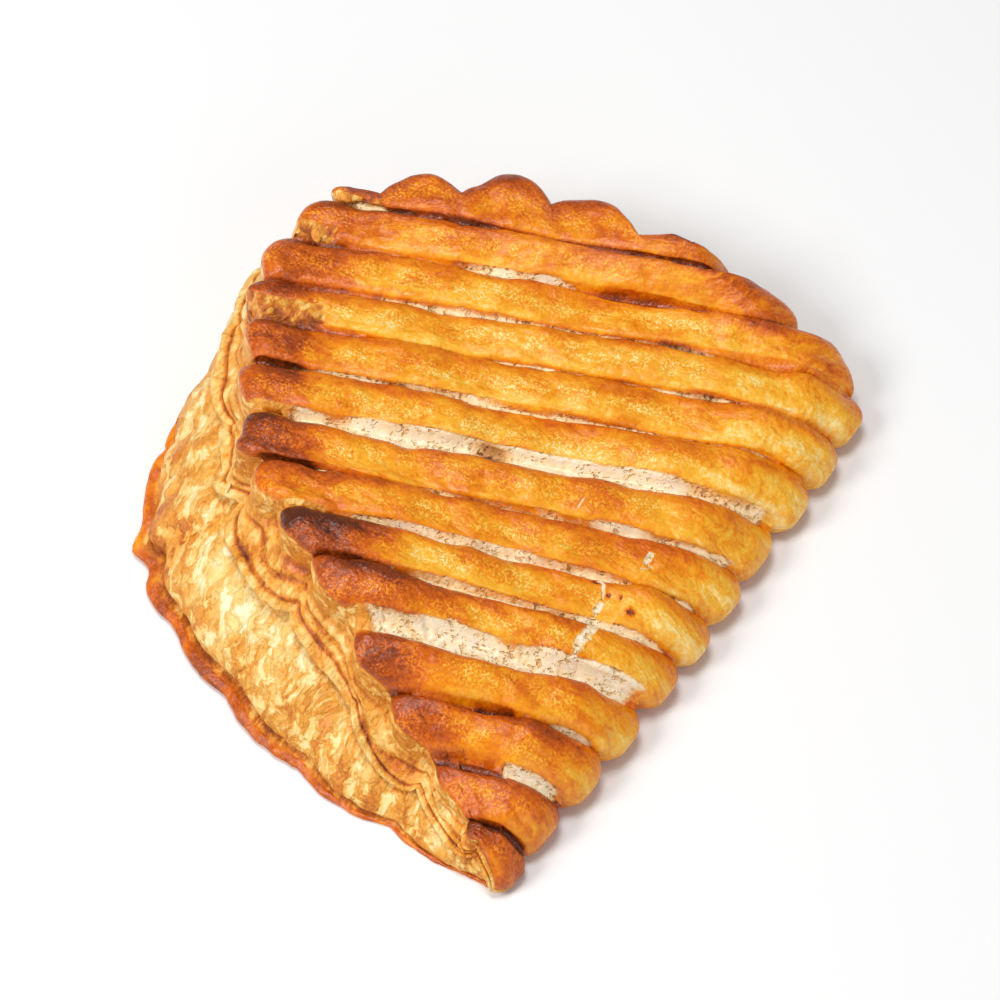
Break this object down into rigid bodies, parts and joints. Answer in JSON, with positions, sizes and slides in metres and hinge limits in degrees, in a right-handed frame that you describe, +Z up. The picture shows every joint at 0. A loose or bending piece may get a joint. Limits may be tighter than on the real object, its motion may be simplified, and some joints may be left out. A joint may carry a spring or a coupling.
{
  "type": "apple turnover",
  "caption": "Golden puff-pastry apple turnover with a straight fold, a crimped curved edge and slanting scored ridges.",
  "frame": {"origin": "centre of the base's bounding rectangle, on the surface it lies on", "axes": "+Z up, +X along the folded edge towards its higher end, +Y from the folded edge to the crimped edge"},
  "size_m": [0.1438, 0.1246, 0.0322],
  "materials": {
    "crust": "baked puff pastry: egg-washed golden brown on the ridges, satin, pale and dry in the cuts and on the flaky side wall"
  },
  "bodies": {
    "root": {"pastry": "crust"}
  },
  "joints": []
}
